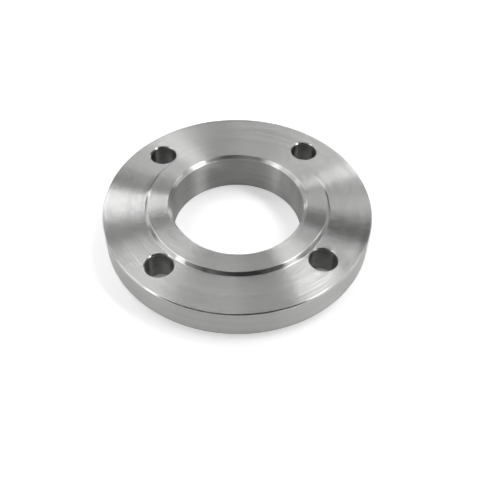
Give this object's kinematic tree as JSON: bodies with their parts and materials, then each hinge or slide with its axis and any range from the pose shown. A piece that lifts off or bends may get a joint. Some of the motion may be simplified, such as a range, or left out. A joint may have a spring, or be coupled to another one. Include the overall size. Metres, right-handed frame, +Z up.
{
  "type": "plate flange",
  "caption": "Ring-shaped stainless pipe flange with a raised gasket face, a chamfered bore for the pipe, bolt holes through its plate and a low hub underneath.",
  "frame": {"origin": "centre of the hub's end face, on the surface that the flange stands on", "axes": "+Z up along the bore's axis, towards the gasket face; +X and +Y are the centre lines that the bolt holes straddle"},
  "size_m": [0.1906, 0.1906, 0.0304],
  "materials": {
    "stainless_steel": "fine turned"
  },
  "bodies": {
    "root": {"flange": "stainless_steel"}
  },
  "joints": []
}
